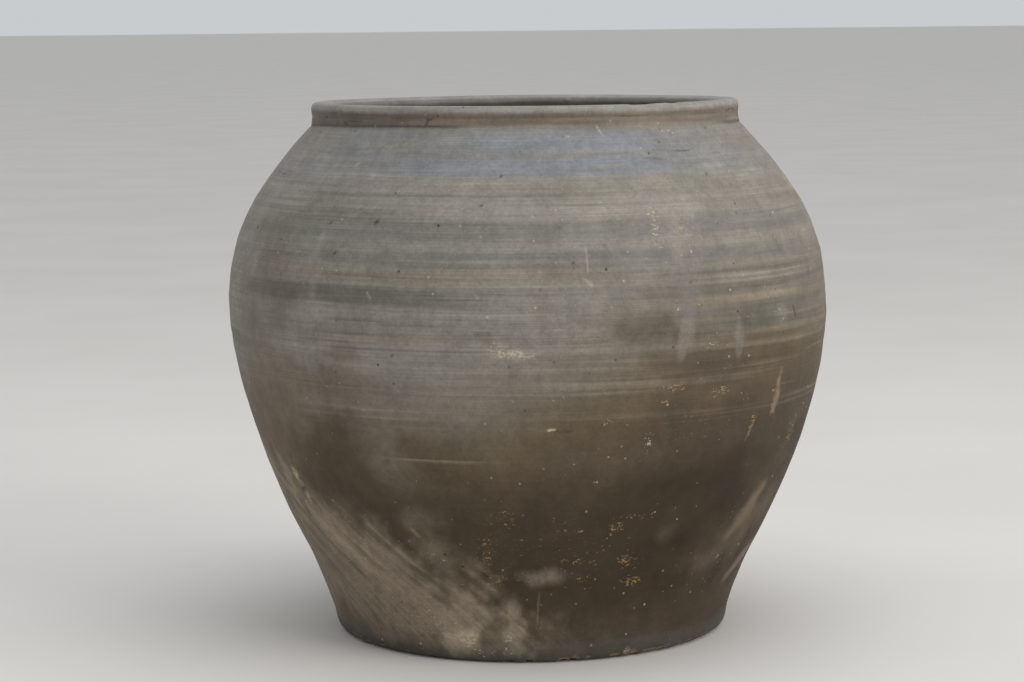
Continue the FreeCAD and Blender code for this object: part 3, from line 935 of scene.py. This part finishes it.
class Nodes:
    """A short way to write a material's nodes, with sockets or plain values as their inputs."""

    def __init__(self, material):
        material.use_nodes = True
        self.tree = material.node_tree
        self.tree.nodes.clear()

    def make(self, kind, inputs=None, **settings):
        node = self.tree.nodes.new(kind)
        for name, value in settings.items():
            setattr(node, name, value)
        for name, value in (inputs or {}).items():
            socket = node.inputs[name]
            if isinstance(value, bpy.types.NodeSocket):
                self.tree.links.new(value, socket)
            else:
                socket.default_value = value
        return node

    def math(self, operation, first, second):
        return self.make("ShaderNodeMath", {0: first, 1: second}, operation=operation).outputs[0]

    def times(self, first, second):
        return self.math("MULTIPLY", first, second)

    def plus(self, *values):
        total = values[0]
        for value in values[1:]:
            total = self.math("ADD", total, value)
        return total

    def vector(self, operation, first, second=(0, 0, 0)):
        inputs = {0: first, 1: second}
        return self.make("ShaderNodeVectorMath", inputs, operation=operation).outputs[0]

    def split(self, vector):
        return self.make("ShaderNodeSeparateXYZ", {0: vector}).outputs

    def attribute(self, name):
        return self.make("ShaderNodeAttribute", attribute_name=name).outputs

    def noise(self, place, scale, detail, roughness):
        inputs = {"Vector": place, "Scale": scale, "Detail": detail, "Roughness": roughness}
        return self.make("ShaderNodeTexNoise", inputs).outputs[0]

    def span(self, value, low, high, start=0.0, end=1.0):
        """The value mapped from low..high to start..end, held at both ends."""
        inputs = {0: value, 1: low, 2: high, 3: start, 4: end}
        return self.make("ShaderNodeMapRange", inputs, interpolation_type="SMOOTHSTEP").outputs[0]

    def swing(self, value, amount):
        """Noise turned into a swing from minus the amount to plus the amount."""
        return self.span(value, 0.3, 0.7, -amount, amount)

    def blend(self, share, first, second):
        """Two colours mixed by a share."""
        inputs = {0: share, 6: first, 7: second}
        return self.make("ShaderNodeMix", inputs, data_type="RGBA").outputs[2]

    def surface(self, inputs):
        """A principled shader with these inputs as the material's surface."""
        shader = self.make("ShaderNodeBsdfPrincipled", inputs)
        self.make("ShaderNodeOutputMaterial", {"Surface": shader.outputs[0]})


def streaks(nodes, place, width, height, radius, detail, twist=0.0):
    """Noise drawn out round the jar or along it, on a wall of the given radius, all in metres.

    The twist winds it down the wall, in radians for each metre.
    """
    direction = nodes.vector("NORMALIZE", nodes.vector("MULTIPLY", place, (1, 1, 0)))
    inputs = {"Vector": direction, "Angle": nodes.times(nodes.split(place)[2], twist)}
    wound = nodes.make("ShaderNodeVectorRotate", inputs, rotation_type="Z_AXIS").outputs[0]
    round_part = nodes.vector("MULTIPLY", wound, (radius / width, radius / width, 0))
    up_part = nodes.vector("MULTIPLY", place, (0, 0, 1 / height))
    return nodes.noise(nodes.vector("ADD", round_part, up_part), 1.0, detail, 0.6)


def speckles(nodes, place, spacing, size, share, shift=(0, 0, 0)):
    """Scattered dots: a share of the cells of the given spacing hold one, size across."""
    moved = nodes.vector("ADD", place, shift)
    inputs = {"Vector": moved, "Scale": 1 / spacing, "Randomness": 1.0}
    cells = nodes.make("ShaderNodeTexVoronoi", inputs)
    chance = nodes.make("ShaderNodeSeparateColor", {0: cells.outputs["Color"]}).outputs
    near = nodes.span(cells.outputs["Distance"], size / spacing * 0.5, size / spacing * 0.25)
    varied = nodes.times(near, nodes.span(chance[1], 0.0, 1.0, 0.35, 1.0))
    return nodes.times(varied, nodes.math("LESS_THAN", chance[0], share))


def crumb_flecks(nodes, place, density, shift):
    """Where crumbs show: the thicker they lie, the more of a fine ragged noise they fill."""
    moved = nodes.vector("ADD", place, (shift, 0.5 * shift, 0.2))
    grains = nodes.noise(moved, 620.0, 3.0, 0.6)
    flat = nodes.noise(nodes.vector("MULTIPLY", moved, (1, 1, 4)), 230.0, 3.0, 0.6)
    level = nodes.math("SUBTRACT", 0.72, nodes.times(density, 0.26))
    above = nodes.math("SUBTRACT", nodes.math("MAXIMUM", grains, flat), level)
    return nodes.times(nodes.span(above, 0.0, 0.05), nodes.span(density, 0.02, 0.12))


def clay_fields(nodes):
    """The painted attributes and the noises that the clay is made from, as sockets by name."""
    place = nodes.make("ShaderNodeTexCoord").outputs["Object"]
    paint = nodes.attribute("Paint")
    finish = nodes.split(nodes.attribute("Finish")["Vector"])
    crumbs = nodes.split(nodes.attribute("Crumbs")["Vector"])
    return SimpleNamespace(
        place=place,
        paint=paint["Color"], grit_share=paint["Alpha"],
        stripes=finish[0], dust=finish[1], sheen=finish[2],
        cream=crumbs[0], ochre=crumbs[1], dragged=crumbs[2],
        broad=streaks(nodes, place, 0.16, 0.0050, BELLY, 2.0),
        fine=streaks(nodes, place, 0.09, 0.0012, BELLY, 2.0),
        hairs=streaks(nodes, place, 0.0011, 0.045, LOWER_WALL, 3.0, twist=7.3),
        grain=nodes.noise(place, 420.0, 4.0, 0.65),
        clouds=nodes.noise(place, 34.0, 4.0, 0.6),
        mottle=nodes.noise(place, 130.0, 3.0, 0.6),
    )


def clay_tone(nodes, clay, streak):
    """How much lighter or darker than its paint the clay is: streaks, scores, clouds and grain."""
    patchy = nodes.span(clay.clouds, 0.35, 0.65, 0.25, 1.0)
    streak_share = nodes.times(nodes.span(clay.stripes, 0.0, 1.0, 0.09, 0.14), patchy)
    score_share = nodes.times(nodes.times(clay.stripes, 0.11), patchy)
    scored = nodes.math("SUBTRACT", nodes.span(clay.fine, 0.57, 0.68), nodes.span(clay.fine, 0.43, 0.32))
    return nodes.plus(
        1.0,
        nodes.times(streak, streak_share),
        nodes.times(scored, score_share),
        nodes.swing(clay.clouds, 0.09),
        nodes.swing(clay.mottle, 0.08),
        nodes.swing(clay.grain, 0.10),
        nodes.times(nodes.swing(clay.hairs, 0.22), clay.dragged),
    )


def clay_grit(nodes, clay):
    """Pale grit in two sizes, thinner inside the jar."""
    coarse = speckles(nodes, clay.place, 0.011, 0.0022, 0.75)
    fine = speckles(nodes, clay.place, 0.0065, 0.0013, 0.45, (0.71, 0.43, 0.17))
    grit = nodes.math("MAXIMUM", nodes.times(coarse, 0.50), nodes.times(fine, 0.40))
    return nodes.times(grit, clay.grit_share)


def clay_colour(nodes, clay, streak, grit, pinholes):
    """The paint with its tone, under powdery dust, flecks of crumbs, grit and pinholes."""
    inputs = {0: clay.paint, "Scale": clay_tone(nodes, clay, streak)}
    colour = nodes.make("ShaderNodeVectorMath", inputs, operation="SCALE").outputs[0]
    powder = nodes.times(nodes.span(clay.mottle, 0.48, 0.72), clay.dust)
    colour = nodes.blend(nodes.times(powder, 0.35), colour, (*linear(150, 140, 126), 1))
    for density, tint, shift in ((clay.cream, CREAM, 0.0), (clay.ochre, OCHRE, 0.31)):
        flecks = crumb_flecks(nodes, clay.place, density, shift)
        colour = nodes.blend(nodes.times(flecks, 0.75), colour, (*tint, 1))
    colour = nodes.blend(grit, colour, (*linear(198, 182, 152), 1))
    return nodes.blend(nodes.times(pinholes, 0.8), colour, (*linear(48, 35, 28), 1))


def clay_roughness(nodes, clay):
    """Matt clay, rougher where dusty and with a faint sheen on the blue-grey stripes."""
    bare = nodes.span(clay.sheen, 0.0, 1.0, 0.66, 0.50)
    return nodes.plus(bare, nodes.times(clay.dust, 0.16), nodes.swing(clay.grain, 0.06))


def clay_bump(nodes, clay, streak, grit, pinholes):
    """Fine relief: wheel streaks, grain, standing grit and sunken pinholes."""
    ridges = nodes.times(streak, nodes.span(clay.stripes, 0.0, 1.0, 0.25, 1.0))
    raised = nodes.plus(ridges, nodes.swing(clay.grain, 0.35), nodes.times(grit, 0.8))
    height = nodes.math("SUBTRACT", raised, nodes.times(pinholes, 3.0))
    inputs = {"Height": height, "Distance": 0.00022, "Strength": 0.6}
    return nodes.make("ShaderNodeBump", inputs).outputs[0]


def clay_material(slot):
    """Smoke-fired clay: the painted colours with streaks, grain, grit, pinholes, dust and sheen."""
    material = bpy.data.materials.new(slot)
    nodes = Nodes(material)
    clay = clay_fields(nodes)
    streak = nodes.plus(nodes.swing(clay.broad, 0.5), nodes.swing(clay.fine, 0.4))
    grit = clay_grit(nodes, clay)
    pinholes = speckles(nodes, clay.place, 0.013, 0.0024, 0.5, (0.37, 0.11, 0.23))
    nodes.surface({
        "Base Color": clay_colour(nodes, clay, streak, grit, pinholes),
        "Roughness": clay_roughness(nodes, clay),
        "Normal": clay_bump(nodes, clay, streak, grit, pinholes),
        "Specular IOR Level": 0.3,
    })
    return material


def floor_material():
    """A plain pale matt floor."""
    material = bpy.data.materials.new("floor")
    nodes = Nodes(material)
    place = nodes.make("ShaderNodeTexCoord").outputs["Object"]
    cloud = nodes.noise(place, 3.0, 2.0, 0.5)
    tone = nodes.blend(nodes.span(cloud, 0.3, 0.7), (0.70, 0.67, 0.63, 1), (0.73, 0.70, 0.66, 1))
    nodes.surface({"Base Color": tone, "Roughness": 0.8})
    return material


# ---- Floor, light and camera ----


def make_floor():
    """A level floor that reaches to the horizon."""
    mesh = bpy.data.meshes.new("floor")
    far = 300.0
    corners = [(-far, -far, 0), (far, -far, 0), (far, far, 0), (-far, far, 0)]
    mesh.from_pydata(corners, [], [(0, 1, 2, 3)])
    mesh.materials.append(floor_material())
    floor = bpy.data.objects.new("floor", mesh)
    bpy.context.scene.collection.objects.link(floor)


def soft_light(name, place, size, power, colour):
    """A square area light at a place, aimed at the middle of the jar."""
    light = bpy.data.lights.new(name, "AREA")
    light.size = size
    light.energy = power
    light.color = colour
    lamp = bpy.data.objects.new(name, light)
    lamp.location = place
    aim = Vector((0, 0, 0.2)) - lamp.location
    lamp.rotation_euler = aim.to_track_quat("-Z", "Y").to_euler()
    bpy.context.scene.collection.objects.link(lamp)


def make_light():
    world = bpy.data.worlds.new("studio")
    bpy.context.scene.world = world
    world.use_nodes = True
    background = world.node_tree.nodes["Background"]
    background.inputs["Color"].default_value = (0.94, 0.97, 1.0, 1)
    background.inputs["Strength"].default_value = 0.62
    soft_light("overhead", (0.35, -0.25, 1.9), 2.0, 16, (0.93, 0.96, 1.0))
    soft_light("right_window", (8.4, -5.2, 3.4), 7.2, 555, (1.0, 0.98, 0.95))
    bpy.context.scene.view_settings.view_transform = "Standard"


def make_camera():
    """The viewing angle: a long lens a little above the mouth, looking slightly down."""
    camera = bpy.data.cameras.new("camera")
    camera.sensor_width = 36
    camera.lens = 95.6
    eye = bpy.data.objects.new("camera", camera)
    look_down = math.radians(6.583)
    roll = math.radians(-0.596)
    eye.matrix_world = (
        Matrix.Translation((-0.0112, -1.831, 0.4037))
        @ Matrix.Rotation(math.pi / 2 - look_down, 4, "X")
        @ Matrix.Rotation(roll, 4, "Z")
    )
    bpy.context.scene.collection.objects.link(eye)
    bpy.context.scene.camera = eye


# ---- The scene ----


def make_jar():
    materials = {}
    for entry in frame["record"]["subparts"]:
        slot = entry["material_slot"]
        if slot not in materials:
            materials[slot] = clay_material(slot)
        piece = build_piece(entry["node"], materials[slot])


make_camera()
make_light()
make_floor()
make_jar()
